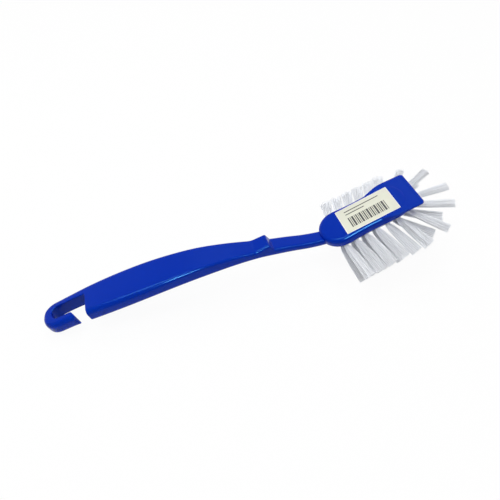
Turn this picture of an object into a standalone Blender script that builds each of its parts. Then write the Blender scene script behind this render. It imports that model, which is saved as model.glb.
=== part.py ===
"""A washing-up brush: one moulded body, a paper label, bristle tufts and the wire anchors that hold them.

The brush is modelled with the flat top of its head at height zero, +X towards the scraper, and the
label's centre at the origin. At the end it is turned and stood as it rests on a table: on its rear
tufts and on the end of its handle.
"""

import math
import random

import bmesh
import bpy
from mathutils import Matrix, Vector
from mathutils.geometry import delaunay_2d_cdt

# Sizes are in metres and angles in degrees.
CLEARANCE = 0.0003
CUT_OVERRUN = 0.001

# Label: a plain rectangle of label stock on the flat top of the head.
LABEL_LENGTH = 0.0381
LABEL_WIDTH = 0.0212
LABEL_THICKNESS = 0.0002
LABEL_SIDE_SHIFT = 0.00035
LABEL_CORNER = 0.0004

# Head block: round at the rear, slightly waisted, with a flatter round front under the scraper.
HEAD_REAR_MARGIN = 0.01615
HEAD_FRONT_MARGIN = 0.00815
HEAD_REAR_RADIUS = 0.0137
HEAD_WAIST_WIDTH = 0.0259
HEAD_FRONT_WIDTH = 0.0266
HEAD_FRONT_RADIUS = 0.017
HEAD_DEPTH = 0.0112
RIM_RADIUS = 0.003
CHAMFER_INSET = 0.0026
CHAMFER_TOP_DEPTH = 0.0058
CHAMFER_FOOT_DEPTH = 0.0104
FLOOR_INSET = 0.0062

# Scraper: a thin flared plate, flush with the head's top at its sides and dropping in front of the label.
SCRAPER_REACH = 0.0064
SCRAPER_WIDTH = 0.0303
SCRAPER_ROOT_WIDTH = 0.0198
SCRAPER_ROOT_OVERLAP = 0.0323
SCRAPER_FLARE_LENGTH = 0.0219
SCRAPER_LEVEL_OVERLAP = 0.0082
SCRAPER_CORNER = 0.0022
SCRAPER_THICKNESS = 0.0022
SCRAPER_EDGE_THICKNESS = 0.0011
SCRAPER_ROOT_DROP = 0.0001
SCRAPER_EDGE_DROP = 0.0012

# Handle: a curved bar from under the rear of the head to the hook.
HANDLE_REACH = 0.1803
HANDLE_RISE = 0.0526
HANDLE_WIDTH = 0.0230
HANDLE_DEPTH = 0.0113
HANDLE_STATION_PITCH = 0.0055
HANDLE_TOP_EDGE = 0.0033
HANDLE_BOTTOM_EDGE = 0.0036
HANDLE_MOST_TOP_EDGE_SHARE = 0.45
HANDLE_MOST_BOTTOM_EDGE_SHARE = 0.7
HANDLE_TOP_WALL_SHARE = 0.42
HANDLE_BOTTOM_WALL_SHARE = 0.57
HANDLE_END_TURN = 84.0
HANDLE_END_LEAN = 9.0
LEAN_START_SHARE = 0.45
LEAN_FULL_SHARE = 0.80
END_EDGE_SHARE = 0.9
END_BOTTOM_SHARE = 0.6
# Each row: share of the reach, then of the rise, the width, the depth and the top edge's radius.
HANDLE_SHARES = (
    (-0.040, -0.082, 0.440, 0.520, 0.64),
    (0.000, -0.033, 0.440, 0.611, 0.64),
    (0.060, 0.062, 0.459, 0.636, 0.64),
    (0.115, 0.167, 0.487, 0.634, 0.64),
    (0.172, 0.270, 0.513, 0.657, 0.64),
    (0.235, 0.387, 0.560, 0.712, 0.58),
    (0.320, 0.536, 0.679, 0.848, 0.52),
    (0.410, 0.662, 0.819, 0.939, 0.49),
    (0.500, 0.753, 0.947, 0.924, 0.65),
    (0.600, 0.830, 1.050, 0.890, 0.86),
    (0.700, 0.891, 1.060, 0.901, 0.96),
    (0.800, 0.944, 0.990, 0.933, 1.00),
    (0.880, 0.972, 0.900, 0.905, 1.00),
    (0.940, 0.985, 0.852, 0.907, 1.00),
    (1.000, 1.000, 0.823, 0.940, 1.00),
)

# Pan rest: the wedge on top of the neck that catches the rim of a pan or a sink.
REST_TO_HEAD = 0.0311
REST_FACE_RUN = 0.0014
REST_RAMP_LENGTH = 0.0101
REST_HEIGHT = 0.0053

# Hook: a long slot through the end of the handle, open on the near side.
SLOT_LENGTH = 0.0236
SLOT_WIDTH = 0.0093
HOOK_END_WALL = 0.0064
HOOK_FAR_ARM = 0.0047
MOUTH_WIDTH = 0.0063
HOOK_TIP_SLANT = 0.0038
TIP_INNER_RADIUS = 0.0015
TIP_OUTER_RADIUS = 0.0018
SLOT_CORNER = 0.0012

# Tufts and their anchors: folded bristles in drilled holes, each held by a flat piece of wire.
HOLE_DIAMETER = 0.0031
HOLE_DEPTH = 0.0042
HOLE_MOUTH_OVERRUN = 0.0036
HOLE_SIDES = 10
LOOP_THICKNESS = 0.0007
ANCHOR_LENGTH = 0.0039
ANCHOR_HEIGHT = 0.0016
ANCHOR_THICKNESS = 0.0005
STRAND_RINGS = (1, 5, 10)
STRAND_RING_SPACING = 0.00049
STRAND_ROOT_RADIUS = 0.0002
STRAND_TIP_RADIUS = 0.00029
TRIM_VARIATION = 0.0006

# Side rows: six tufts on each side, standing out low from the chamfer under the rim.
SIDE_TUFTS = 6
SIDE_ROW_REAR_MARGIN = 0.0122
SIDE_ROW_FRONT_MARGIN = 0.0122
SIDE_LENGTH = 0.0268
SIDE_FAN = 0.0039
SIDE_THICKNESS = 0.0017
SIDE_SPLAY = 71.5
SIDE_SWEEP_REAR = 9.0
SIDE_SWEEP_FRONT = 19.0

# Front fan: tufts round the front of the head. Each row: the root's bearing from the head's
# axis, the bristles' bearing, their splay from straight down, and the share of the fan's length.
FAN_LENGTH = 0.0307
FAN_FAN = 0.0028
FAN_THICKNESS = 0.0017
FAN_SHARES = (
    (-37.0, -53.0, 73.0, 0.95),
    (-19.0, -25.0, 79.0, 1.00),
    (0.0, -3.0, 77.0, 1.03),
    (19.0, 25.0, 79.0, 1.00),
    (37.0, 53.0, 73.0, 0.95),
)

# Inner tufts, mirrored in pairs: steps of the side row's pitch from its first tuft, share of half
# the head's width, the bristles' bearing from the head's axis, and their splay from straight down.
INNER_LENGTH = 0.0297
INNER_FAN = 0.0041
INNER_THICKNESS = 0.0020
INNER_SHARES = (
    (-0.27, 0.63, 79.0, 42.0),
    (0.72, 0.57, 75.0, 42.0),
    (1.76, 0.57, 71.0, 42.0),
    (2.86, 0.57, 67.0, 45.0),
    (4.68, 0.56, 45.0, 64.0),
    (5.47, 0.32, 31.0, 70.0),
)

# Smoothness of the round shapes.
RIM_STEPS = 4
EDGE_STEPS = 4
REAR_STEPS = 9
SIDE_STEPS = 6
FRONT_STEPS = 9
CORNER_STEPS = 5
FLARE_STEPS = 10
END_STEPS = 7
CORNER_SOFTNESS = 10
STRAND_SIDES = 3
SHARP_ANGLE = 35.0
LEVELLING_STEPS = 12

# Places that several pieces share.
HEAD_REAR_X = -LABEL_LENGTH / 2 - HEAD_REAR_MARGIN
HEAD_FRONT_X = LABEL_LENGTH / 2 + HEAD_FRONT_MARGIN
SCRAPER_ROOT_X = HEAD_FRONT_X - SCRAPER_ROOT_OVERLAP
SCRAPER_EDGE_X = HEAD_FRONT_X + SCRAPER_REACH
REAR_CENTRE_X = HEAD_REAR_X + HEAD_REAR_RADIUS
FRONT_CENTRE_X = HEAD_FRONT_X - HEAD_FRONT_RADIUS
WAIST_X = (REAR_CENTRE_X + FRONT_CENTRE_X) / 2
HANDLE_END_X = HEAD_REAR_X - HANDLE_REACH
SIDE_ROW_START_X = HEAD_REAR_X + SIDE_ROW_REAR_MARGIN
SIDE_ROW_PITCH = (HEAD_FRONT_X - SIDE_ROW_FRONT_MARGIN - SIDE_ROW_START_X) / (SIDE_TUFTS - 1)
CHAMFER_MIDDLE_DEPTH = (CHAMFER_TOP_DEPTH + CHAMFER_FOOT_DEPTH) / 2
PLUG_RADIUS = HOLE_DIAMETER / 2 - CLEARANCE
POCKET_LENGTH = ANCHOR_LENGTH + 2 * CLEARANCE
POCKET_HEIGHT = ANCHOR_HEIGHT + 2 * CLEARANCE
POCKET_THICKNESS = ANCHOR_THICKNESS + 2 * CLEARANCE
POCKET_DEPTH = HOLE_DEPTH - CLEARANCE - LOOP_THICKNESS - POCKET_HEIGHT / 2


def clear_scene():
    for obj in list(bpy.data.objects):
        bpy.data.objects.remove(obj, do_unlink=True)


def plain_material(name, colour, roughness, metallic=0.0):
    material = bpy.data.materials.new(name)
    material.use_nodes = True
    shader = material.node_tree.nodes["Principled BSDF"]
    shader.inputs["Base Color"].default_value = (*colour, 1.0)
    shader.inputs["Roughness"].default_value = roughness
    shader.inputs["Metallic"].default_value = metallic
    return material


def add_object(name, mesh_maker, material, frame):
    """Makes a mesh with mesh_maker(bm), and hangs it on the frame that stands the brush up."""
    bm = bmesh.new()
    mesh_maker(bm)
    bmesh.ops.recalc_face_normals(bm, faces=bm.faces)
    mesh = bpy.data.meshes.new(name)
    bm.to_mesh(mesh)
    bm.free()
    obj = bpy.data.objects.new(name, mesh)
    bpy.context.scene.collection.objects.link(obj)
    obj.parent = frame
    if material:
        mesh.materials.append(material)
        mesh.shade_smooth()
        mesh.set_sharp_from_angle(angle=math.radians(SHARP_ANGLE))
    return obj


def add_cutter(name, mesh_maker, frame):
    cutter = add_object(name, mesh_maker, None, frame)
    cutter.hide_render = True
    cutter.display_type = "WIRE"
    return cutter


def add_boolean(obj, other, operation):
    modifier = obj.modifiers.new(f"{operation.lower()} {other.name}", "BOOLEAN")
    modifier.operation = operation
    modifier.solver = "EXACT"
    modifier.object = other


def loft(bm, rings):
    """A closed skin through rings of points, with a flat cap on the first and the last."""
    loops = [[bm.verts.new(point) for point in ring] for ring in rings]
    for lower, upper in zip(loops, loops[1:]):
        for i, corner in enumerate(lower):
            j = (i + 1) % len(lower)
            bm.faces.new((corner, lower[j], upper[j], upper[i]))
    bm.faces.new(loops[0])
    bm.faces.new(loops[-1])


def prism(bm, outline, low, high):
    """A closed prism that stands on a plan outline."""
    loft(bm, [[Vector((x, y, z)) for x, y in outline] for z in (low, high)])


def box(bm, centre, axes, sizes):
    """A closed box along three given directions."""
    corners = {}
    for i in (-1, 1):
        for j in (-1, 1):
            for k in (-1, 1):
                offsets = (axis * size * side / 2 for axis, size, side in zip(axes, sizes, (i, j, k)))
                corners[i, j, k] = bm.verts.new(centre + sum(offsets, Vector()))
    turn = ((-1, -1), (1, -1), (1, 1), (-1, 1))
    for side in (-1, 1):
        bm.faces.new([corners[side, a, b] for a, b in turn])
        bm.faces.new([corners[a, side, b] for a, b in turn])
        bm.faces.new([corners[a, b, side] for a, b in turn])


def ease(share):
    """Goes smoothly from 0 to 1."""
    share = min(max(share, 0.0), 1.0)
    return share * share * (3 - 2 * share)


def arc(centre_x, centre_y, radius, start, end, steps):
    """Points of an arc in plan, both ends included."""
    points = []
    for i in range(steps + 1):
        angle = math.radians(start + (end - start) * i / steps)
        points.append((centre_x + radius * math.cos(angle), centre_y + radius * math.sin(angle)))
    return points


def head_side(x):
    """Half the head block's width where its sides run nearly straight."""
    waist = HEAD_WAIST_WIDTH / 2
    if x < WAIST_X:
        share = ease((WAIST_X - x) / (WAIST_X - REAR_CENTRE_X))
        return waist + (HEAD_REAR_RADIUS - waist) * share
    share = ease((x - WAIST_X) / (FRONT_CENTRE_X - WAIST_X))
    return waist + (HEAD_FRONT_WIDTH / 2 - waist) * share


def head_front(x, inset):
    """Half the width at the front, where the side turns softly into the round front end."""
    side = head_side(x) - inset
    radius = HEAD_FRONT_RADIUS - inset
    reach = max(x - FRONT_CENTRE_X, 0.0)
    front = math.sqrt(max(radius * radius - reach * reach, 0.0))
    if front == 0.0:
        return 0.0
    return (side**-CORNER_SOFTNESS + front**-CORNER_SOFTNESS) ** (-1 / CORNER_SOFTNESS)


def head_outline(inset):
    """The head block's outline in plan, moved inwards by the inset."""
    radius = HEAD_REAR_RADIUS - inset
    far = arc(REAR_CENTRE_X, 0, radius, 180, 90, REAR_STEPS)
    for i in range(1, SIDE_STEPS + 1):
        x = REAR_CENTRE_X + (FRONT_CENTRE_X - REAR_CENTRE_X) * i / SIDE_STEPS
        side = head_side(x) - inset if x <= WAIST_X else head_front(x, inset)
        far.append((x, side))
    for i in range(1, FRONT_STEPS + 1):
        angle = math.radians(90 * (1 - i / FRONT_STEPS))
        x = FRONT_CENTRE_X + (HEAD_FRONT_RADIUS - inset) * math.cos(angle)
        far.append((x, head_front(x, inset) if i < FRONT_STEPS else 0.0))
    near = [(x, -y) for x, y in reversed(far[1:-1])]
    return far + near


def make_head_block(bm):
    """The block: a nearly flat floor, a steep chamfer for the outer tufts, a wall and a round rim."""
    levels = [
        (FLOOR_INSET, -HEAD_DEPTH),
        (CHAMFER_INSET, -CHAMFER_FOOT_DEPTH),
        (0.0, -CHAMFER_TOP_DEPTH),
    ]
    for i in range(RIM_STEPS + 1):
        angle = math.radians(90 * i / RIM_STEPS)
        levels.append((RIM_RADIUS * (1 - math.cos(angle)), RIM_RADIUS * (math.sin(angle) - 1)))
    loft(bm, [[Vector((x, y, z)) for x, y in head_outline(inset)] for inset, z in levels])


def scraper_half_width(x):
    """Half the scraper's width: flared from its root, with round corners at its edge."""
    root, half = SCRAPER_ROOT_WIDTH / 2, SCRAPER_WIDTH / 2
    flared = root + (half - root) * ease((x - SCRAPER_ROOT_X) / SCRAPER_FLARE_LENGTH)
    into_corner = max(SCRAPER_CORNER - (SCRAPER_EDGE_X - x), 0.0)
    return flared - SCRAPER_CORNER + math.sqrt(max(SCRAPER_CORNER**2 - into_corner**2, 0.0))


def make_scraper(bm):
    """The plate as cross-sections: level to the front of the label, then sloping to its thin edge."""
    level_x = HEAD_FRONT_X - SCRAPER_LEVEL_OVERLAP
    stations = [SCRAPER_ROOT_X + SCRAPER_FLARE_LENGTH * i / FLARE_STEPS for i in range(FLARE_STEPS + 1)]
    stations.append(level_x)
    for i in range(CORNER_STEPS + 1):
        reach = SCRAPER_CORNER * math.sin(math.radians(90 * i / CORNER_STEPS))
        stations.append(SCRAPER_EDGE_X - SCRAPER_CORNER + reach)
    rings = []
    for x in stations:
        slope = max((x - level_x) / (SCRAPER_EDGE_X - level_x), 0.0)
        top = -SCRAPER_ROOT_DROP - (SCRAPER_EDGE_DROP - SCRAPER_ROOT_DROP) * slope
        bottom = top - SCRAPER_THICKNESS + (SCRAPER_THICKNESS - SCRAPER_EDGE_THICKNESS) * slope
        half = scraper_half_width(x)
        corners = ((-half, bottom), (half, bottom), (half, top), (-half, top))
        rings.append([Vector((x, y, z)) for y, z in corners])
    loft(bm, rings)


def handle_shares(share):
    """The handle's rise, width, depth and top edge shares at a share of its reach, on a smooth curve."""
    rows = HANDLE_SHARES
    i = max(k for k in range(len(rows) - 1) if rows[k][0] <= share or k == 0)
    before, low, high = rows[max(i - 1, 0)], rows[i], rows[i + 1]
    after = rows[min(i + 2, len(rows) - 1)]
    span = high[0] - low[0]
    t = (share - low[0]) / span
    values = []
    for column in (1, 2, 3, 4):
        slope_low = (high[column] - before[column]) / (high[0] - before[0]) * span
        slope_high = (after[column] - low[column]) / (after[0] - low[0]) * span
        values.append(
            (2 * t**3 - 3 * t**2 + 1) * low[column]
            + (t**3 - 2 * t**2 + t) * slope_low
            + (3 * t**2 - 2 * t**3) * high[column]
            + (t**3 - t**2) * slope_high
        )
    return values


def pan_rest_height(x):
    """How far the pan rest stands above the handle's top."""
    foot = HEAD_REAR_X - REST_TO_HEAD
    crest = foot - REST_FACE_RUN
    if x > crest:
        return REST_HEIGHT * max((foot - x) / REST_FACE_RUN, 0.0)
    return REST_HEIGHT * max(1 - (crest - x) / REST_RAMP_LENGTH, 0.0)


def handle_section(x, round_share=0.0):
    """One cross-section of the handle. round_share goes to 1 where the end rounds off."""
    rise, width, depth, edge = handle_shares((HEAD_REAR_X - x) / HANDLE_REACH)
    top = rise * HANDLE_RISE
    level_top = top
    wall = depth * HANDLE_DEPTH
    bottom = top - wall
    half = width * HANDLE_WIDTH / 2
    shrink = math.sqrt(1 - round_share**2)
    top_most = min(half * HANDLE_MOST_TOP_EDGE_SHARE, wall * HANDLE_TOP_WALL_SHARE)
    top_edge = min(edge * HANDLE_TOP_EDGE, top_most)
    bottom_most = min(half * HANDLE_MOST_BOTTOM_EDGE_SHARE, wall * HANDLE_BOTTOM_WALL_SHARE)
    bottom_edge = min(HANDLE_BOTTOM_EDGE, bottom_most)
    into_end = half * (1 - round_share)
    top_loss = end_loss(into_end, top_edge)
    bottom_loss = end_loss(into_end, bottom_edge * END_BOTTOM_SHARE)
    half *= shrink
    top += pan_rest_height(x) - top_loss
    bottom += bottom_loss
    top_edge = min(top_edge, half * END_EDGE_SHARE)
    bottom_edge = min(bottom_edge, half * END_EDGE_SHARE)
    corners = (
        (1, top, -1, top_edge, 0),
        (-1, top, -1, top_edge, 90),
        (-1, bottom, 1, bottom_edge, 180),
        (1, bottom, 1, bottom_edge, 270),
    )
    ring = []
    for side, level, inwards, radius, start in corners:
        centre_y, centre_z = side * (half - radius), level + inwards * radius
        for y, z in arc(centre_y, centre_z, radius, start, start + 90, EDGE_STEPS):
            ring.append(Vector((x + end_lean(x) * (z - level_top), y, z)))
    return ring


def end_loss(into_end, radius):
    """How far a round edge has dropped at this distance from the end."""
    if into_end >= radius:
        return 0.0
    return radius - math.sqrt(radius**2 - (radius - into_end) ** 2)


def end_lean(x):
    """How far the handle's sections lean, so that the hook end stands square to the curved grip."""
    share = (HEAD_REAR_X - x) / HANDLE_REACH
    grown = ease((share - LEAN_START_SHARE) / (LEAN_FULL_SHARE - LEAN_START_SHARE))
    return math.tan(math.radians(HANDLE_END_LEAN)) * grown


def handle_half_width(x):
    return handle_shares((HEAD_REAR_X - x) / HANDLE_REACH)[1] * HANDLE_WIDTH / 2


def make_handle(bm):
    """The neck, the pan rest, the grip and the rounded end as one skin."""
    start_x = HEAD_REAR_X - HANDLE_SHARES[0][0] * HANDLE_REACH
    foot = HEAD_REAR_X - REST_TO_HEAD
    crest = foot - REST_FACE_RUN
    ramp = crest - REST_RAMP_LENGTH
    end_radius = handle_half_width(HANDLE_END_X)
    round_x = HANDLE_END_X + end_radius
    stops = [start_x, foot, crest, ramp, round_x]
    rings = []
    for near_stop, far_stop in zip(stops, stops[1:]):
        steps = max(1, round((near_stop - far_stop) / HANDLE_STATION_PITCH))
        for i in range(steps):
            rings.append(handle_section(near_stop + (far_stop - near_stop) * i / steps))
    for i in range(END_STEPS + 1):
        share = math.sin(math.radians(HANDLE_END_TURN * i / END_STEPS))
        rings.append(handle_section(round_x - end_radius * share, share))
    loft(bm, rings)


def slot_far_y():
    return handle_half_width(HANDLE_END_X) - HOOK_FAR_ARM


def corner_arc(before, corner, after, radius):
    """Points of the arc that rounds a corner between two straight lines."""
    before, corner, after = Vector(before), Vector(corner), Vector(after)
    first, second = (before - corner).normalized(), (after - corner).normalized()
    half_angle = first.angle(second) / 2
    centre = corner + (first + second).normalized() * (radius / math.sin(half_angle))
    reach = radius / math.tan(half_angle)
    start, end = corner + first * reach - centre, corner + second * reach - centre
    return [centre + start.slerp(end, i / CORNER_STEPS) * radius for i in range(CORNER_STEPS + 1)]


def hook_outline():
    """The plan of the slot and of its mouth, which runs out through the near side along the hook's tip."""
    far_y = slot_far_y()
    near_y = far_y - SLOT_WIDTH
    radius = SLOT_WIDTH / 2
    outer_x = HANDLE_END_X + HOOK_END_WALL
    wall_x = outer_x + SLOT_LENGTH
    tip_x = wall_x - MOUTH_WIDTH
    side_y = -handle_half_width(tip_x)
    slot_end = (outer_x + radius, near_y)
    tip_inner = (tip_x - HOOK_TIP_SLANT, near_y)
    tip_outer = (tip_x, side_y)
    outline = arc(outer_x + radius, far_y - radius, radius, 90, 270, 2 * CORNER_STEPS)
    outline += corner_arc(slot_end, tip_inner, tip_outer, TIP_INNER_RADIUS)
    outline += corner_arc(tip_inner, tip_outer, (outer_x, side_y), TIP_OUTER_RADIUS)
    outline += [(outline[-1][0], side_y - CUT_OVERRUN), (wall_x, side_y - CUT_OVERRUN)]
    outline += corner_arc((wall_x, side_y), (wall_x, far_y), (outer_x, far_y), SLOT_CORNER)
    return outline


def make_hook_cut(bm):
    """A prism through the handle's end that leans as the end does."""
    middle = HANDLE_END_X + HOOK_END_WALL + SLOT_LENGTH / 2
    top = handle_shares((HEAD_REAR_X - middle) / HANDLE_REACH)[0] * HANDLE_RISE
    rings = []
    for z in (0, HANDLE_RISE + HANDLE_DEPTH):
        lean = end_lean(middle) * (z - top)
        rings.append([Vector((x + lean, y, z)) for x, y in hook_outline()])
    loft(bm, rings)


def direction(bearing, splay):
    """A unit direction: its bearing in plan from +X, and its splay from straight down."""
    bearing, splay = math.radians(bearing), math.radians(splay)
    across = math.sin(splay)
    return Vector((math.cos(bearing) * across, math.sin(bearing) * across, -math.cos(splay)))


def floor_depth(inset):
    """How deep the underside lies between the chamfer's foot and the flat floor."""
    share = min(max((inset - CHAMFER_INSET) / (FLOOR_INSET - CHAMFER_INSET), 0.0), 1.0)
    return CHAMFER_FOOT_DEPTH + (HEAD_DEPTH - CHAMFER_FOOT_DEPTH) * share


def side_tufts():
    """(name, root, direction, length, fan, thickness) of the tufts along both sides."""
    tufts = []
    inset = CHAMFER_INSET / 2
    for i in range(SIDE_TUFTS):
        x = SIDE_ROW_START_X + SIDE_ROW_PITCH * i
        across = head_front(x, inset) if x > WAIST_X else head_side(x) - inset
        sweep = SIDE_SWEEP_REAR + (SIDE_SWEEP_FRONT - SIDE_SWEEP_REAR) * i / (SIDE_TUFTS - 1)
        for word, side in (("near", -1), ("far", 1)):
            root = Vector((x, side * across, -CHAMFER_MIDDLE_DEPTH))
            way = direction(side * (90 - sweep), SIDE_SPLAY)
            tufts.append((f"{word}_{i + 1}", root, way, SIDE_LENGTH, SIDE_FAN, SIDE_THICKNESS))
    return tufts


def front_tufts():
    tufts = []
    radius = HEAD_FRONT_RADIUS - CHAMFER_INSET / 2
    for i, (root_bearing, bearing, splay, length) in enumerate(FAN_SHARES):
        angle = math.radians(root_bearing)
        root_x = FRONT_CENTRE_X + radius * math.cos(angle)
        root = Vector((root_x, radius * math.sin(angle), -CHAMFER_MIDDLE_DEPTH))
        way = direction(bearing, splay)
        tufts.append((f"front_{i + 1}", root, way, FAN_LENGTH * length, FAN_FAN, FAN_THICKNESS))
    return tufts


def inner_tufts():
    tufts = []
    half = HEAD_WAIST_WIDTH / 2
    for i, (steps, across, bearing, splay) in enumerate(INNER_SHARES):
        x = SIDE_ROW_START_X + SIDE_ROW_PITCH * steps
        depth = floor_depth(half * (1 - across))
        for word, side in (("near", -1), ("far", 1)):
            root = Vector((x, side * half * across, -depth))
            way = direction(side * bearing, splay)
            name = f"inner_{word}_{i + 1}"
            tufts.append((name, root, way, INNER_LENGTH, INNER_FAN, INNER_THICKNESS))
    return tufts


def tuft_axes(way):
    """Across the tuft in plan, up across it, and along its bristles."""
    across = Vector((0, 0, 1)).cross(way).normalized()
    return across, way.cross(across), way


def make_tuft_holes(bm, tufts):
    for _, root, way, *_ in tufts:
        across, up, _ = tuft_axes(way)
        rings = []
        for depth in (HOLE_DEPTH, -HOLE_MOUTH_OVERRUN):
            outline = arc(0, 0, HOLE_DIAMETER / 2, 0, 360, HOLE_SIDES)[:-1]
            rings.append([root - way * depth + across * u + up * v for u, v in outline])
        loft(bm, rings)


def make_anchor_pockets(bm, tufts):
    """The spaces that the anchors sit in: notches in the holes' walls, and gaps through the folds."""
    for _, root, way, *_ in tufts:
        sizes = (POCKET_THICKNESS, POCKET_LENGTH, POCKET_HEIGHT)
        box(bm, root - way * POCKET_DEPTH, tuft_axes(way), sizes)


def make_anchor(bm, tuft):
    _, root, way, *_ = tuft
    sizes = (ANCHOR_THICKNESS, ANCHOR_LENGTH, ANCHOR_HEIGHT)
    box(bm, root - way * POCKET_DEPTH, tuft_axes(way), sizes)


def strand_places():
    """Where the strands stand on the end of the fold, in rings round its middle."""
    places = []
    for ring, count in enumerate(STRAND_RINGS):
        for i in range(count):
            angle = math.tau * (i + 0.5 * ring) / count
            radius = STRAND_RING_SPACING * ring
            places.append((radius * math.cos(angle), radius * math.sin(angle)))
    return places


def strand_base(place, turn):
    """The corners of one strand where it leaves the fold."""
    corners = []
    for k in range(STRAND_SIDES):
        angle = turn + math.tau * k / STRAND_SIDES
        x = place[0] + STRAND_ROOT_RADIUS * math.cos(angle)
        corners.append((x, place[1] + STRAND_ROOT_RADIUS * math.sin(angle)))
    return corners


def make_tuft(bm, tuft, seed):
    """The fold in its hole, and straight three-sided strands that fan out of it without crossing."""
    _, root, way, length, fan, thickness = tuft
    across, up, _ = tuft_axes(way)
    chance = random.Random(seed)
    rim = arc(0, 0, PLUG_RADIUS, 0, 360, HOLE_SIDES)[:-1]
    places = strand_places()
    points = list(rim)
    outlines = [list(range(len(rim)))]
    for place in places:
        turn = chance.uniform(0, math.tau)
        outlines.append([len(points) + k for k in range(STRAND_SIDES)])
        points += strand_base(place, turn)
    plane = [Vector(point) for point in points]
    verts, _, faces, _, _, sources = delaunay_2d_cdt(plane, [], outlines, 1, 0)
    top = [bm.verts.new(root + across * v.x + up * v.y) for v in verts]
    reach = STRAND_RING_SPACING * (len(STRAND_RINGS) - 1)
    for face, source in zip(faces, sources):
        strand = max(source)
        if strand == 0:
            bm.faces.new([top[i] for i in face])
            continue
        place = places[strand - 1]
        centre = root + way * (length - TRIM_VARIATION * chance.random())
        centre += across * (fan * place[0] / reach) + up * (thickness * place[1] / reach)
        ends = []
        for i in face:
            offset = (verts[i] - Vector(place)) * (STRAND_TIP_RADIUS / STRAND_ROOT_RADIUS)
            ends.append(bm.verts.new(centre + across * offset.x + up * offset.y))
        for k, i in enumerate(face):
            following = (k + 1) % STRAND_SIDES
            bm.faces.new((top[i], top[face[following]], ends[following], ends[k]))
        bm.faces.new(ends)
    rim_top = [min(top, key=lambda v: (v.co - root - across * u - up * w).length) for u, w in rim]
    sink = way * (CLEARANCE - HOLE_DEPTH)
    rim_low = [bm.verts.new(v.co + sink) for v in rim_top]
    for i, corner in enumerate(rim_top):
        j = (i + 1) % len(rim_top)
        bm.faces.new((corner, rim_top[j], rim_low[j], rim_low[i]))
    bm.faces.new(rim_low)


def label_outline():
    half_length, half_width = LABEL_LENGTH / 2, LABEL_WIDTH / 2
    points = []
    for side_x, side_y, start in ((1, 1, 0), (-1, 1, 90), (-1, -1, 180), (1, -1, 270)):
        x = side_x * (half_length - LABEL_CORNER)
        y = side_y * (half_width - LABEL_CORNER) - LABEL_SIDE_SHIFT
        points += arc(x, y, LABEL_CORNER, start, start + 90, 2)
    return points


def make_label(bm):
    prism(bm, label_outline(), CLEARANCE, CLEARANCE + LABEL_THICKNESS)


def make_body(frame, tufts, material):
    """The moulded body: handle, head and scraper joined, then the hook and the tuft holes cut."""
    body = add_object("moulded_body", make_handle, material, frame)
    add_boolean(body, add_cutter("head_block", make_head_block, frame), "UNION")
    add_boolean(body, add_cutter("scraper_plate", make_scraper, frame), "UNION")
    add_boolean(body, add_cutter("hook_cut", make_hook_cut, frame), "DIFFERENCE")
    holes = add_cutter("tuft_holes", lambda bm: make_tuft_holes(bm, tufts), frame)
    add_boolean(body, holes, "DIFFERENCE")
    pockets = add_cutter("anchor_pockets", lambda bm: make_anchor_pockets(bm, tufts), frame)
    add_boolean(body, pockets, "DIFFERENCE")
    return pockets


def world_points():
    """Every corner of every finished piece."""
    graph = bpy.context.evaluated_depsgraph_get()
    points = []
    for obj in bpy.context.scene.objects:
        if obj.type == "MESH" and not obj.hide_render:
            evaluated = obj.evaluated_get(graph)
            points += [evaluated.matrix_world @ v.co for v in evaluated.data.vertices]
    return points


def rest_tilt(points):
    """The turn about Y at which the handle's end and the lowest tufts touch one level surface."""
    middle_x = HEAD_REAR_X - HANDLE_REACH / 2
    hook = [p for p in points if p.x < middle_x]
    head = [p for p in points if p.x > middle_x]
    tilt = 0.0
    for _ in range(LEVELLING_STEPS):
        turn = Matrix.Rotation(-tilt, 3, "Y")
        hook_low = min((turn @ p for p in hook), key=lambda p: p.z)
        head_low = min((turn @ p for p in head), key=lambda p: p.z)
        tilt -= math.atan2(head_low.z - hook_low.z, head_low.x - hook_low.x)
    return tilt


def stand_up(frame):
    """Turns the brush to its rest and puts the middle of its footprint's box on the origin."""
    bpy.context.view_layer.update()
    points = world_points()
    turn = Matrix.Rotation(-rest_tilt(points), 4, "Y")
    turned = [turn @ p for p in points]
    xs, ys, zs = zip(*turned)
    shift = Vector((-(min(xs) + max(xs)) / 2, -(min(ys) + max(ys)) / 2, -min(zs)))
    frame.matrix_world = Matrix.Translation(shift) @ turn


def main():
    clear_scene()
    frame = bpy.data.objects.new("rest_frame", None)
    bpy.context.scene.collection.objects.link(frame)
    blue = plain_material("blue_polypropylene", (0.0, 0.035, 0.42), 0.28)
    cream = plain_material("label_paper", (0.76, 0.76, 0.64), 0.6)
    white = plain_material("white_bristle", (0.82, 0.84, 0.88), 0.4)
    steel = plain_material("anchor_steel", (0.62, 0.62, 0.64), 0.35, 1.0)
    tufts = side_tufts() + front_tufts() + inner_tufts()
    pockets = make_body(frame, tufts, blue)
    add_object("label", make_label, cream, frame)
    for seed, tuft in enumerate(tufts):
        name = tuft[0]
        piece = add_object(f"tuft_{name}", lambda bm: make_tuft(bm, tuft, seed), white, frame)
        add_boolean(piece, pockets, "DIFFERENCE")
        add_object(f"anchor_{name}", lambda bm: make_anchor(bm, tuft), steel, frame)
    stand_up(frame)


main()
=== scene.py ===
"""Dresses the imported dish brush: its moulded body, stuck label, filament tufts and wire anchors.

The body and the label are modelled with the head's flat top level and the label's centre at the
origin, +X towards the scraper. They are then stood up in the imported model's own frame, which the
packed label gives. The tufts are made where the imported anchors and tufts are.
"""

import math
import random

import bpy
import numpy as np
from mathutils import Matrix, Vector


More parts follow.
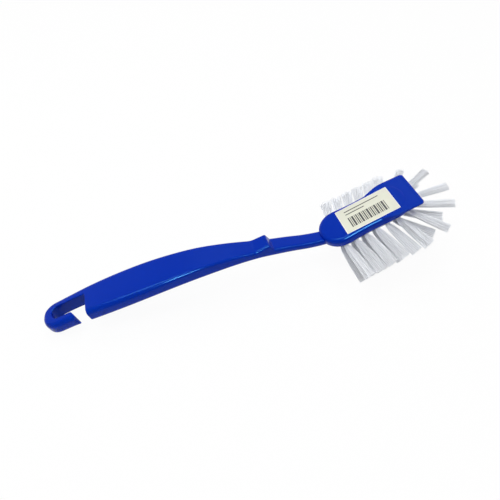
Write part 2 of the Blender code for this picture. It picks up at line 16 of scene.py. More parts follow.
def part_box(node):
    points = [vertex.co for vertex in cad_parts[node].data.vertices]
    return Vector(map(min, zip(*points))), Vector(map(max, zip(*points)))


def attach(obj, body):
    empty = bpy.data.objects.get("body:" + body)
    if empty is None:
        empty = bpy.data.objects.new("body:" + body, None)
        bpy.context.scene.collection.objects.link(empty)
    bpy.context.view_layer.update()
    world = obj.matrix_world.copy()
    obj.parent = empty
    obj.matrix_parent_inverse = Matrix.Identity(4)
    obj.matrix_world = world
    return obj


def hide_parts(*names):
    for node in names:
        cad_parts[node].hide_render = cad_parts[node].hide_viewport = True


# Sizes are in metres and angles in degrees.
MERGE = 1e-6
PLACE_DIGITS = 6

# Label.
LABEL_LENGTH = 0.0381
LABEL_WIDTH = 0.0212
LABEL_THICKNESS = 0.0002
LABEL_CORNER = 0.0004
LABEL_BEVEL = 0.00005
LABEL_BEVEL_STEPS = 2
LABEL_BEVEL_ANGLE = 60.0
LABEL_SIDE_SHIFT = 0.00035
LABEL_CLEARANCE = 0.0003
LABEL_SEAT = 0.00002

# Head block.
HEAD_REAR_X = -0.0352
HEAD_FRONT_X = 0.0272
HEAD_REAR_RADIUS = 0.0137
HEAD_WAIST_WIDTH = 0.0259
HEAD_FRONT_WIDTH = 0.0266
HEAD_FRONT_RADIUS = 0.017
HEAD_DEPTH = 0.0112
RIM_RADIUS = 0.003
CHAMFER_INSET = 0.0026
CHAMFER_TOP_DEPTH = 0.0058
CHAMFER_FOOT_DEPTH = 0.0104
FLOOR_INSET = 0.0062
FLOOR_EDGE = 0.0005
REAR_CENTRE_X = HEAD_REAR_X + HEAD_REAR_RADIUS
FRONT_CENTRE_X = HEAD_FRONT_X - HEAD_FRONT_RADIUS
WAIST_X = (REAR_CENTRE_X + FRONT_CENTRE_X) / 2
CORNER_SOFTNESS = 10

# Scraper.
SCRAPER_REACH = 0.0064
SCRAPER_WIDTH = 0.0303
SCRAPER_ROOT_WIDTH = 0.0198
SCRAPER_ROOT_OVERLAP = 0.0323
SCRAPER_FLARE_LENGTH = 0.0219
SCRAPER_LEVEL_OVERLAP = 0.0082
SCRAPER_BEND = 0.004
SCRAPER_CORNER = 0.0022
SCRAPER_THICKNESS = 0.0022
SCRAPER_EDGE_THICKNESS = 0.0011
SCRAPER_ROOT_DROP = 0.00004
SCRAPER_EDGE_DROP = 0.0012
SCRAPER_EDGE = 0.00035
SCRAPER_PITCH = 0.0012
SCRAPER_END_TURN = 86.0
SCRAPER_ROOT_X = HEAD_FRONT_X - SCRAPER_ROOT_OVERLAP
SCRAPER_EDGE_X = HEAD_FRONT_X + SCRAPER_REACH

# Handle.
HANDLE_REACH = 0.1803
HANDLE_RISE = 0.0526
HANDLE_WIDTH = 0.0230
HANDLE_DEPTH = 0.0113
HANDLE_PITCH = 0.002
HANDLE_TOP_EDGE = 0.0033
HANDLE_BOTTOM_EDGE = 0.0036
HANDLE_MOST_TOP_EDGE_SHARE = 0.45
HANDLE_MOST_BOTTOM_EDGE_SHARE = 0.7
HANDLE_TOP_WALL_SHARE = 0.42
HANDLE_BOTTOM_WALL_SHARE = 0.57
HANDLE_END_TURN = 88.0
HANDLE_END_LEAN = 9.0
LEAN_START_SHARE = 0.45
LEAN_FULL_SHARE = 0.80
END_EDGE_SHARE = 0.9
END_BOTTOM_SHARE = 0.6
HANDLE_END_X = HEAD_REAR_X - HANDLE_REACH
# Each row: share of the reach, then of the rise, the width, the depth and the top edge's radius.
HANDLE_SHARES = (
    (-0.040, -0.082, 0.440, 0.520, 0.64),
    (0.000, -0.033, 0.440, 0.611, 0.64),
    (0.060, 0.062, 0.459, 0.636, 0.64),
    (0.115, 0.167, 0.487, 0.634, 0.64),
    (0.172, 0.270, 0.513, 0.657, 0.64),
    (0.235, 0.387, 0.560, 0.712, 0.58),
    (0.320, 0.536, 0.679, 0.848, 0.52),
    (0.410, 0.662, 0.819, 0.939, 0.49),
    (0.500, 0.753, 0.947, 0.924, 0.65),
    (0.600, 0.830, 1.050, 0.890, 0.86),
    (0.700, 0.891, 1.060, 0.901, 0.96),
    (0.800, 0.944, 0.990, 0.933, 1.00),
    (0.880, 0.972, 0.900, 0.905, 1.00),
    (0.940, 0.985, 0.852, 0.907, 1.00),
    (1.000, 1.000, 0.823, 0.940, 1.00),
)

# Pan rest: a wedge on top of the neck.
REST_TO_HEAD = 0.0311
REST_FACE_RUN = 0.0014
REST_RAMP_LENGTH = 0.0101
REST_HEIGHT = 0.0053
REST_BLEND = 0.004
REST_RAMP_RADIUS = 0.008
REST_CREST_RADIUS = 0.0007
REST_FOOT_RADIUS = 0.0005

# Hook: a long slot through the end of the handle, open on the near side.
SLOT_LENGTH = 0.0236
SLOT_WIDTH = 0.0093
HOOK_END_WALL = 0.0064
HOOK_FAR_ARM = 0.0047
MOUTH_WIDTH = 0.0063
HOOK_TIP_SLANT = 0.0038
TIP_INNER_RADIUS = 0.0015
TIP_OUTER_RADIUS = 0.0018
SLOT_CORNER = 0.0012
MOUTH_CORNER = 0.0004
HOOK_RIM = 0.0006
HOOK_RIM_TURN = 75.0
HOOK_SIDE_STEPS = 16
HOOK_SIDE_LEAST = 0.0022
CUT_OVERRUN = 0.002

# Tuft holes and filaments.
HOLE_DIAMETER = 0.0031
HOLE_DEPTH = 0.0042
HOLE_SIDES = 24
ANCHOR_HEIGHT = 0.0016
ANCHOR_DEPTH = 0.0021
FILAMENTS = 42
FILAMENT_DIAMETER = 0.00028
BUNDLE_RADIUS = 0.0013
GOLDEN_ANGLE = math.pi * (3 - math.sqrt(5))
FREE_STATIONS = (1.0, 0.5, 0.15, 0.0)
FAN_POWER = 0.45
TRIM_VARIATION = 0.0006
TIP_SCATTER = 0.00015
BOW = 0.00012
FOLD_LEAST = 0.00047
FOLD_DROP = 0.0002
FOLD_ROUND = 0.4

# Smoothness of the round shapes.
RIM_STEPS = 10
EDGE_STEPS = 7
REAR_STEPS = 24
SIDE_STEPS = 24
FRONT_STEPS = 24
CORNER_STEPS = 8
END_STEPS = 18
RIM_CUT_STEPS = 5
SHARP_ANGLE = 32.0
NORMAL_WEIGHT = 50

# The print on the label, as shares of its length: plain bars of three widths, evenly repeated.
BAR_START = 0.14
BAR_STEPS = ((0.022, 0.016), (0.012, 0.014), (0.034, 0.018), (0.012, 0.014))
BAR_REPEATS = 5
BAR_BAND = (0.15, 0.56)
# Each rule: its low and high side across the label, then its start and end along it.
RULES = ((0.81, 0.845, 0.14, 0.80), (0.69, 0.725, 0.14, 0.50))
PRINT_SOFTNESS = 0.0015
CUT_EDGE_ALONG = 0.006
CUT_EDGE_ALONG_SOFTNESS = 0.003
CUT_EDGE_ACROSS = 0.010
CUT_EDGE_ACROSS_SOFTNESS = 0.005

# Colours, each as its darker and its lighter shade where it varies.
PLASTIC_BLUES = ((0.0, 0.016, 0.32, 1), (0.0, 0.022, 0.35, 1))
PLASTIC_SHEEN = (0.15, 0.6, 1, 1)
LABEL_CREAMS = ((0.61, 0.615, 0.51, 1), (0.685, 0.69, 0.59, 1))
LABEL_CUT_WHITE = (0.88, 0.88, 0.86, 1)
LABEL_INK = (0.02, 0.02, 0.025, 1)
FILAMENT_WHITES = ((0.84, 0.87, 0.93, 1), (0.92, 0.94, 0.98, 1))
FILAMENT_TIP_WHITE = (0.93, 0.945, 0.97, 1)
WIRE_GREYS = ((0.52, 0.52, 0.54, 1), (0.68, 0.68, 0.70, 1))
WHITE = (1, 1, 1, 1)

# The camera, as worked out from the photograph.
CAMERA_PLACE = (-0.05608, -0.19579, 0.24973)
CAMERA_TURN = (42.4968, 1.1374, -16.8075)
CAMERA_LENS = 32.9
CAMERA_SENSOR = 36.0
CAMERA_CLIP_START = 0.01

# The floor, the surround and the lamps.
FLOOR_SIZE = 6.0
FLOOR_GREY = (0.82, 0.82, 0.82, 1)
FLOOR_ROUGHNESS = 0.9
FLOOR_WHITE_SHARE = 0.95
SURROUND_LIGHT = 0.42
LAMP_TARGET = (0, 0, 0.02)
# Each lamp: its place, width, height and power, and whether it lights and whether it shines in gloss.
LAMPS = (
    ("overhead_lamp", (-0.38, 0.0, 1.0), 0.5, 0.5, 5.2, True, True),
    ("right_lamp", (0.57, -0.55, 1.0), 0.3, 0.3, 2.4, True, True),
    ("back_lamp", (0.1, 0.7, 1.1), 0.5, 0.5, 5.0, True, False),
    ("front_strip", (-0.12, -1.1, 1.0), 0.36, 0.12, 34.0, False, True),
    ("overhead_shine", (-0.38, 0.0, 1.0), 0.5, 0.5, 11.0, False, True),
    ("right_shine", (0.57, -0.55, 1.0), 0.3, 0.3, 4.0, False, True),
)

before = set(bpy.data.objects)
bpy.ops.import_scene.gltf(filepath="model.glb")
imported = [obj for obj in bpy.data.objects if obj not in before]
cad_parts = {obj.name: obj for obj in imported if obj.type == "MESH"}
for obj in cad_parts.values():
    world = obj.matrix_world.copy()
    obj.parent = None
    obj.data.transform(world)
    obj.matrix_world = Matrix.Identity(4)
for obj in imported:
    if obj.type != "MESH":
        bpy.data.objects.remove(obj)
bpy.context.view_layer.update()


def deselect():
    bpy.ops.object.select_all(action="DESELECT")


def select_only(*pieces):
    deselect()
    for piece in pieces:
        piece.select_set(True)
    bpy.context.view_layer.objects.active = pieces[0]


def apply_modifier(piece, kind, **settings):
    """Adds one modifier to a piece, and applies it."""
    modifier = piece.modifiers.new(kind.title(), kind)
    for name, value in settings.items():
        setattr(modifier, name, value)
    select_only(piece)
    bpy.ops.object.modifier_apply(modifier=modifier.name)


def ease(share):
    """Goes smoothly from 0 to 1."""
    share = min(max(share, 0.0), 1.0)
    return share * share * (3 - 2 * share)


def arc(centre_x, centre_y, radius, start, end, steps):
    """Points of an arc in plan, both ends included."""
    points = []
    for i in range(steps + 1):
        angle = math.radians(start + (end - start) * i / steps)
        points.append((centre_x + radius * math.cos(angle), centre_y + radius * math.sin(angle)))
    return points


def corner_arc(before, corner, after, radius):
    """Points of the arc that rounds a corner between two straight lines."""
    before, corner, after = Vector(before), Vector(corner), Vector(after)
    first, second = (before - corner).normalized(), (after - corner).normalized()
    half_angle = first.angle(second) / 2
    centre = corner + (first + second).normalized() * (radius / math.sin(half_angle))
    reach = radius / math.tan(half_angle)
    start, end = corner + first * reach - centre, corner + second * reach - centre
    return [tuple(centre + start.slerp(end, i / CORNER_STEPS) * radius) for i in range(CORNER_STEPS + 1)]


def evenly(points, pitch):
    """The same line of points with its long steps split evenly."""
    line = []
    for here, there in zip(points, points[1:]):
        steps = max(1, round(math.dist(here, there) / pitch))
        for i in range(steps):
            line.append(tuple(a + (b - a) * i / steps for a, b in zip(here, there)))
    return line + [points[-1]]


def skin(name, rings):
    """A closed skin over rings of points, rolled up from a flat grid, with flat ends."""
    deselect()
    around = len(rings[0])
    bpy.ops.mesh.primitive_grid_add(x_subdivisions=around, y_subdivisions=len(rings) - 1)
    piece = bpy.context.object
    piece.name = name
    places = [axis for ring in rings for point in (*ring, ring[0]) for axis in point]
    piece.data.vertices.foreach_set("co", places)
    bpy.ops.object.mode_set(mode="EDIT")
    bpy.ops.mesh.select_all(action="SELECT")
    bpy.ops.mesh.remove_doubles(threshold=MERGE)
    bpy.ops.mesh.fill_holes(sides=0)
    bpy.ops.mesh.select_all(action="SELECT")
    bpy.ops.mesh.normals_make_consistent(inside=False)
    bpy.ops.object.mode_set(mode="OBJECT")
    return piece


def level_rings(levels):
    """Rings of points from plan outlines and their heights."""
    return [[(x, y, z) for x, y in outline] for outline, z in levels]


def cut(piece, cutter, operation="DIFFERENCE"):
    """Joins or cuts a piece with another, which is then removed."""
    apply_modifier(piece, "BOOLEAN", operation=operation, solver="EXACT", object=cutter)
    bpy.data.objects.remove(cutter, do_unlink=True)


def head_side(x):
    """Half the head block's width where its sides run nearly straight."""
    waist = HEAD_WAIST_WIDTH / 2
    if x < WAIST_X:
        share = ease((WAIST_X - x) / (WAIST_X - REAR_CENTRE_X))
        return waist + (HEAD_REAR_RADIUS - waist) * share
    share = ease((x - WAIST_X) / (FRONT_CENTRE_X - WAIST_X))
    return waist + (HEAD_FRONT_WIDTH / 2 - waist) * share


def head_front(x, inset):
    """Half the width at the front, where the side turns softly into the round front end."""
    side = head_side(x) - inset
    radius = HEAD_FRONT_RADIUS - inset
    reach = max(x - FRONT_CENTRE_X, 0.0)
    front = math.sqrt(max(radius * radius - reach * reach, 0.0))
    if front == 0.0:
        return 0.0
    return (side**-CORNER_SOFTNESS + front**-CORNER_SOFTNESS) ** (-1 / CORNER_SOFTNESS)


def head_outline(inset):
    """The head block's outline in plan, moved inwards by the inset."""
    radius = HEAD_REAR_RADIUS - inset
    far = arc(REAR_CENTRE_X, 0, radius, 180, 90, REAR_STEPS)
    for i in range(1, SIDE_STEPS + 1):
        x = REAR_CENTRE_X + (FRONT_CENTRE_X - REAR_CENTRE_X) * i / SIDE_STEPS
        side = head_side(x) - inset if x <= WAIST_X else head_front(x, inset)
        far.append((x, side))
    for i in range(1, FRONT_STEPS + 1):
        angle = math.radians(90 * (1 - i / FRONT_STEPS))
        x = FRONT_CENTRE_X + (HEAD_FRONT_RADIUS - inset) * math.cos(angle)
        far.append((x, head_front(x, inset) if i < FRONT_STEPS else 0.0))
    near = [(x, -y) for x, y in reversed(far[1:-1])]
    return far + near


def make_head_block():
    """The block: a nearly flat floor, a steep chamfer for the outer tufts, a wall and a round rim."""
    levels = [
        (head_outline(FLOOR_INSET), -HEAD_DEPTH),
        (head_outline(CHAMFER_INSET + FLOOR_EDGE), -CHAMFER_FOOT_DEPTH - FLOOR_EDGE / 4),
        (head_outline(CHAMFER_INSET), -CHAMFER_FOOT_DEPTH + FLOOR_EDGE / 4),
        (head_outline(FLOOR_EDGE / 2), -CHAMFER_TOP_DEPTH - FLOOR_EDGE),
        (head_outline(0.0), -CHAMFER_TOP_DEPTH),
    ]
    for i in range(RIM_STEPS + 1):
        angle = math.radians(90 * i / RIM_STEPS)
        inset = RIM_RADIUS * (1 - math.cos(angle))
        levels.append((head_outline(inset), RIM_RADIUS * (math.sin(angle) - 1)))
    return skin("head_block", level_rings(levels))


def plate(name, outline, low, high):
    """A flat plate with a plan outline: a filled circle pulled to the outline and extruded."""
    deselect()
    bpy.ops.mesh.primitive_circle_add(vertices=len(outline), fill_type="NGON")
    piece = bpy.context.object
    piece.name = name
    for vertex, (x, y) in zip(piece.data.vertices, outline):
        vertex.co = (x, y, low)
    bpy.ops.object.mode_set(mode="EDIT")
    bpy.ops.mesh.select_all(action="SELECT")
    bpy.ops.mesh.extrude_region_move(TRANSFORM_OT_translate={"value": (0, 0, high - low)})
    bpy.ops.mesh.select_all(action="SELECT")
    bpy.ops.mesh.normals_make_consistent(inside=False)
    bpy.ops.object.mode_set(mode="OBJECT")
    return piece


def end_loss(into_end, radius):
    """How far a round edge has dropped at this distance from the end."""
    if into_end >= radius:
        return 0.0
    return radius - math.sqrt(radius**2 - (radius - into_end) ** 2)


def rounded_ring(x, half, top, bottom, top_edge, bottom_edge):
    """A cross-section square to X, with round corners."""
    corners = (
        (1, top, -1, top_edge, 0),
        (-1, top, -1, top_edge, 90),
        (-1, bottom, 1, bottom_edge, 180),
        (1, bottom, 1, bottom_edge, 270),
    )
    ring = []
    for side, level, inwards, radius, start in corners:
        centre_y, centre_z = side * (half - radius), level + inwards * radius
        for y, z in arc(centre_y, centre_z, radius, start, start + 90, EDGE_STEPS):
            ring.append((x, y, z))
    return ring


def scraper_half_width(x):
    """Half the scraper's width: flared from its root, with round corners at its edge."""
    root, half = SCRAPER_ROOT_WIDTH / 2, SCRAPER_WIDTH / 2
    flared = root + (half - root) * ease((x - SCRAPER_ROOT_X) / SCRAPER_FLARE_LENGTH)
    return flared - end_loss(SCRAPER_EDGE_X - x, SCRAPER_CORNER)


def bend(past):
    """How far a unit slope has gone down past the start of its soft bend."""
    if past < SCRAPER_BEND:
        return max(past, 0.0) ** 2 / (2 * SCRAPER_BEND)
    return past - SCRAPER_BEND / 2


def make_scraper():
    """A thin plate: level with the head's flat beside the label, then sloping to its thin edge."""
    start_x = HEAD_FRONT_X - SCRAPER_LEVEL_OVERLAP - SCRAPER_BEND / 2
    corner_x = SCRAPER_EDGE_X - SCRAPER_CORNER
    line = evenly([(SCRAPER_ROOT_X, 0.0), (corner_x, 0.0)], SCRAPER_PITCH)
    stations = [x for x, _ in line]
    for i in range(1, END_STEPS + 1):
        turn = math.radians(SCRAPER_END_TURN * i / END_STEPS)
        stations.append(corner_x + SCRAPER_CORNER * math.sin(turn))
    rings = []
    for x in stations:
        share = bend(x - start_x) / bend(SCRAPER_EDGE_X - start_x)
        thinned = (SCRAPER_THICKNESS - SCRAPER_EDGE_THICKNESS) * share
        loss = end_loss(SCRAPER_EDGE_X - x, SCRAPER_EDGE)
        top = -SCRAPER_ROOT_DROP - (SCRAPER_EDGE_DROP - SCRAPER_ROOT_DROP) * share
        bottom = top - SCRAPER_THICKNESS + thinned + loss
        rings.append(rounded_ring(x, scraper_half_width(x), top - loss, bottom, SCRAPER_EDGE, SCRAPER_EDGE))
    return skin("scraper", rings)


def handle_shares(share):
    """The handle's rise, width, depth and top edge shares at a share of its reach."""
    rows = HANDLE_SHARES
    i = max(k for k in range(len(rows) - 1) if rows[k][0] <= share or k == 0)
    before, low, high = rows[max(i - 1, 0)], rows[i], rows[i + 1]
    after = rows[min(i + 2, len(rows) - 1)]
    span = high[0] - low[0]
    t = (share - low[0]) / span
    values = []
    for column in (1, 2, 3, 4):
        slope_low = (high[column] - before[column]) / (high[0] - before[0]) * span
        slope_high = (after[column] - low[column]) / (after[0] - low[0]) * span
        values.append(
            (2 * t**3 - 3 * t**2 + 1) * low[column]
            + (t**3 - 2 * t**2 + t) * slope_low
            + (3 * t**2 - 2 * t**3) * high[column]
            + (t**3 - t**2) * slope_high
        )
    return values


def reach_share(x):
    """A place's share of the handle's reach, from the head to the hook end."""
    return (HEAD_REAR_X - x) / HANDLE_REACH


def handle_top(x):
    return handle_shares(reach_share(x))[0] * HANDLE_RISE


def handle_bottom(x):
    return handle_top(x) - handle_shares(reach_share(x))[2] * HANDLE_DEPTH


def handle_half_width(x):
    return handle_shares(reach_share(x))[1] * HANDLE_WIDTH / 2


def handle_edges(x):
    """The radii of the handle's top and bottom edges."""
    _, width, depth, edge = handle_shares(reach_share(x))
    half, wall = width * HANDLE_WIDTH / 2, depth * HANDLE_DEPTH
    top_most = min(half * HANDLE_MOST_TOP_EDGE_SHARE, wall * HANDLE_TOP_WALL_SHARE)
    bottom_most = min(half * HANDLE_MOST_BOTTOM_EDGE_SHARE, wall * HANDLE_BOTTOM_WALL_SHARE)
    return min(edge * HANDLE_TOP_EDGE, top_most), min(HANDLE_BOTTOM_EDGE, bottom_most)


def end_lean(x):
    """How far the handle's sections lean, so that the hook end stands square to the curved grip."""
    grown = ease((reach_share(x) - LEAN_START_SHARE) / (LEAN_FULL_SHARE - LEAN_START_SHARE))
    return math.tan(math.radians(HANDLE_END_LEAN)) * grown


def handle_section(x, rest_height=0.0, round_share=0.0):
    """One cross-section of the handle. round_share goes to 1 where the end rounds off."""
    half = handle_half_width(x)
    top_edge, bottom_edge = handle_edges(x)
    into_end = half * (1 - round_share)
    top = handle_top(x) + rest_height - end_loss(into_end, top_edge)
    bottom = handle_bottom(x) + end_loss(into_end, bottom_edge * END_BOTTOM_SHARE)
    half *= math.sqrt(1 - round_share**2)
    top_edge = min(top_edge, half * END_EDGE_SHARE)
    bottom_edge = min(bottom_edge, half * END_EDGE_SHARE)
    ring = rounded_ring(x, half, top, bottom, top_edge, bottom_edge)
    return [(x + end_lean(x) * (z - handle_top(x)), y, z) for _, y, z in ring]


def rest_profile():
    """The pan rest in side view: places along the neck and heights over it, with soft corners."""
    foot = HEAD_REAR_X - REST_TO_HEAD
    crest = foot - REST_FACE_RUN
    ramp = crest - REST_RAMP_LENGTH
    corners = [(foot + REST_BLEND, 0), (foot, 0), (crest, REST_HEIGHT), (ramp, 0), (ramp - REST_BLEND, 0)]
    radii = (REST_FOOT_RADIUS, REST_CREST_RADIUS, REST_RAMP_RADIUS)
    points = [corners[0]]
    for before, corner, after, radius in zip(corners, corners[1:], corners[2:], radii):
        points += corner_arc(before, corner, after, radius)
    return points + [corners[-1]]


def make_handle_bar():
    """The neck with its pan rest, the grip and the rounded end as one smooth skin."""
    start_x = HEAD_REAR_X - HANDLE_SHARES[0][0] * HANDLE_REACH
    end_radius = handle_half_width(HANDLE_END_X)
    round_x = HANDLE_END_X + end_radius
    side_view = evenly([(start_x, 0)] + rest_profile() + [(round_x, 0)], HANDLE_PITCH)
    rings = [handle_section(x, height) for x, height in side_view[:-1]]
    for i in range(END_STEPS + 1):
        share = math.sin(math.radians(HANDLE_END_TURN * i / END_STEPS))
        rings.append(handle_section(round_x - end_radius * share, 0.0, share))
    return skin("moulded_body_finish", rings)


def hook_outline(grow):
    """The plan of the slot and its mouth out through the near side, grown outwards."""
    far_y = handle_half_width(HANDLE_END_X) - HOOK_FAR_ARM
    near_y = far_y - SLOT_WIDTH
    outer_x = HANDLE_END_X + HOOK_END_WALL
    wall_x = outer_x + SLOT_LENGTH
    tip_x = wall_x - MOUTH_WIDTH
    side_y = -handle_half_width(tip_x)
    rise = near_y - side_y
    run = math.hypot(rise, HOOK_TIP_SLANT)
    inner_x = tip_x - HOOK_TIP_SLANT - grow * (run - HOOK_TIP_SLANT) / rise
    tip_inner = (inner_x, near_y - grow)
    tip_outer = (tip_x - grow * run / rise, side_y)
    radius = SLOT_WIDTH / 2 + grow
    far_y, wall_x = far_y + grow, wall_x + grow
    slot_end = (outer_x + SLOT_WIDTH / 2, near_y - grow)
    beyond_y = side_y - CUT_OVERRUN
    outline = arc(slot_end[0], far_y - radius, radius, 90, 270, 2 * CORNER_STEPS)
    outline += corner_arc(slot_end, tip_inner, tip_outer, TIP_INNER_RADIUS - grow)
    outline += corner_arc(tip_inner, tip_outer, (outer_x, side_y), TIP_OUTER_RADIUS - grow)
    outline.append((outline[-1][0], beyond_y))
    wall_side_y = -handle_half_width(wall_x)
    outline.append((wall_x + MOUTH_CORNER, beyond_y))
    outline += arc(wall_x + MOUTH_CORNER, wall_side_y + MOUTH_CORNER, MOUTH_CORNER, 270, 180, CORNER_STEPS)
    outline += corner_arc((wall_x, side_y), (wall_x, far_y), (outer_x, far_y), SLOT_CORNER + grow)
    return outline


def edge_drop(x, y, radius):
    """How far the handle's rounded edge lies below its flat at a place across it."""
    over = min(max(abs(y) - handle_half_width(max(x, HANDLE_END_X)) + radius, 0.0), radius)
    return radius - math.sqrt(radius**2 - over**2)


def split_sides(outline):
    """The hook's plan with each straight side split into the same number of steps at every level."""
    split = []
    for here, there in zip(outline, outline[1:] + outline[:1]):
        steps = HOOK_SIDE_STEPS if math.dist(here, there) > HOOK_SIDE_LEAST else 1
        for i in range(steps):
            split.append(tuple(a + (b - a) * i / steps for a, b in zip(here, there)))
    return split


def make_hook_cutter():
    """The cutter for the slot and its mouth: it leans as the end does, and leaves a round rim."""
    levels = []
    for i in range(RIM_CUT_STEPS + 1):
        angle = math.radians(HOOK_RIM_TURN * i / RIM_CUT_STEPS)
        levels.append((HOOK_RIM * (1 - math.cos(angle)), HOOK_RIM * (1 - math.sin(angle))))
    tops, bottoms = [], []
    for grow, depth in levels:
        top_ring, bottom_ring = [], []
        for x, y in split_sides(hook_outline(grow)):
            inner_x = max(x, HANDLE_END_X)
            top_edge, bottom_edge = handle_edges(inner_x)
            top_ring.append((x, y, handle_top(inner_x) - edge_drop(x, y, top_edge) - depth))
            bottom_ring.append((x, y, handle_bottom(inner_x) + edge_drop(x, y, bottom_edge) + depth))
        tops.append(top_ring)
        bottoms.append(bottom_ring)
    high, low = HANDLE_RISE + CUT_OVERRUN, HANDLE_RISE - 2 * HANDLE_DEPTH
    rings = [[(x, y, low) for x, y, _ in bottoms[-1]]] + bottoms[::-1]
    rings += tops + [[(x, y, high) for x, y, _ in tops[-1]]]
    middle = HANDLE_END_X + HOOK_END_WALL + SLOT_LENGTH / 2
    lean, level = end_lean(middle), handle_top(middle)
    return skin("hook_cutter", [[(x + lean * (z - level), y, z) for x, y, z in ring] for ring in rings])


def stand_matrix():
    """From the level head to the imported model's frame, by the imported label's place and face."""
    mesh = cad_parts["label"].data
    face = max(mesh.polygons, key=lambda polygon: polygon.area * (polygon.normal.z > 0))
    up = face.normal.normalized()
    low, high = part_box("label")
    centre = (low + high) / 2 - up * (LABEL_CLEARANCE + LABEL_THICKNESS / 2)
    centre.y += LABEL_SIDE_SHIFT
    side = Vector((0, 1, 0))
    along = side.cross(up)
    turn = Matrix((along, side, up)).transposed().to_4x4()
    return Matrix.Translation(centre) @ turn


def box_frame(node):
    """A packed box's centre, and its directions with the thinnest first."""
    points = np.array([vertex.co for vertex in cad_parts[node].data.vertices], float)
    corners = np.unique(points.round(PLACE_DIGITS), axis=0)
    centre = corners.mean(axis=0)
    _, directions = np.linalg.eigh((corners - centre).T @ (corners - centre))
    return Vector(centre), [Vector(directions[:, i]) for i in range(3)]


def tuft_place(name):
    """A tuft's root, its directions across, up and along, and its length, fan and thickness."""
    centre, (across, along, up) = box_frame(f"anchor_{name}")
    points = [vertex.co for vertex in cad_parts[f"tuft_{name}"].data.vertices]
    if sum((p - centre).dot(along) for p in points) < 0:
        along = -along
    if up.z < 0:
        up = -up
    across = up.cross(along)
    root = centre + along * ANCHOR_DEPTH
    return {
        "root": root,
        "across": across,
        "up": up,
        "along": along,
        "length": max((p - root).dot(along) for p in points),
        "fan": max(abs((p - root).dot(across)) for p in points),
        "thickness": max(abs((p - root).dot(up)) for p in points),
    }


TUFT_NAMES = [node[len("anchor_"):] for node in sorted(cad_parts) if node.startswith("anchor_")]
PLACES = {name: tuft_place(name) for name in TUFT_NAMES}


def turned(place, centre):
    """A matrix that puts a primitive's X, Y and Z across, up and along a tuft."""
    turn = Matrix((place["across"], place["up"], place["along"])).transposed().to_4x4()
    return Matrix.Translation(centre) @ turn


def make_holes():
    """One cylinder for each tuft's hole, all in one cutter."""
    holes = []
    for place in PLACES.values():
        deselect()
        depth = HOLE_DEPTH + CHAMFER_INSET
        bpy.ops.mesh.primitive_cylinder_add(vertices=HOLE_SIDES, radius=HOLE_DIAMETER / 2, depth=depth)
        hole = bpy.context.object
        centre = place["root"] + place["along"] * (depth / 2 - HOLE_DEPTH)
        hole.data.transform(turned(place, centre))
        holes.append(hole)
    select_only(*holes)
    bpy.ops.object.join()
    return bpy.context.object


def make_body(stand):
    """The whole moulding: handle, head and scraper joined, then the hook and the tuft holes cut."""
    body = make_handle_bar()
    cut(body, make_head_block(), "UNION")
    cut(body, make_scraper(), "UNION")
    cut(body, make_hook_cutter())
    body.data.transform(stand)
    cut(body, make_holes())
    select_only(body)
    bpy.ops.object.shade_smooth_by_angle(angle=math.radians(SHARP_ANGLE))
    apply_modifier(body, "WEIGHTED_NORMAL", keep_sharp=True, weight=NORMAL_WEIGHT)
    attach(body, "root")
    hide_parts("moulded_body")
    return body


def make_label(stand):
    """The label: a thin plate of paper with small round corners and a cut edge, and its own UV map."""
    points = []
    half_length, half_width = LABEL_LENGTH / 2, LABEL_WIDTH / 2
    for side_x, side_y, start in ((1, 1, 0), (-1, 1, 90), (-1, -1, 180), (1, -1, 270)):
        x = side_x * (half_length - LABEL_CORNER)
        y = side_y * (half_width - LABEL_CORNER) - LABEL_SIDE_SHIFT
        points += arc(x, y, LABEL_CORNER, start, start + 90, CORNER_STEPS)
    label = plate("paper_label", points, LABEL_SEAT, LABEL_SEAT + LABEL_THICKNESS)
    apply_modifier(label, "BEVEL", width=LABEL_BEVEL, segments=LABEL_BEVEL_STEPS,
                   limit_method="ANGLE", angle_limit=math.radians(LABEL_BEVEL_ANGLE))
    layer = label.data.uv_layers.new(name="print")
    for loop in label.data.loops:
        point = label.data.vertices[loop.vertex_index].co
        u = point.x / LABEL_LENGTH + 0.5
        v = (point.y + LABEL_SIDE_SHIFT) / LABEL_WIDTH + 0.5
        layer.data[loop.index].uv = (u, v)
    label.data.transform(stand)
    select_only(label)
    bpy.ops.object.shade_smooth_by_angle(angle=math.radians(SHARP_ANGLE))
    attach(label, "root")
    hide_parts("label")
    return label


def bundle_places(chance):
    """Where the filaments stand across one half of the bundle: (across, up), evenly loose."""
    places = []
    turn = chance.uniform(0, math.tau)
    for i in range(FILAMENTS):
        radius = BUNDLE_RADIUS * math.sqrt((i + 0.5) / FILAMENTS)
        angle = turn + i * GOLDEN_ANGLE
        places.append((abs(radius * math.cos(angle)), radius * math.sin(angle)))
    return places


def spread(places):
    """The same places with their distance across evened out, so that the fan has no gaps."""
    order = sorted(range(len(places)), key=lambda i: places[i][0])
    evened = [0.0] * len(places)
    for rank, i in enumerate(order):
        evened[i] = (rank + 0.5) / len(places)
    return evened


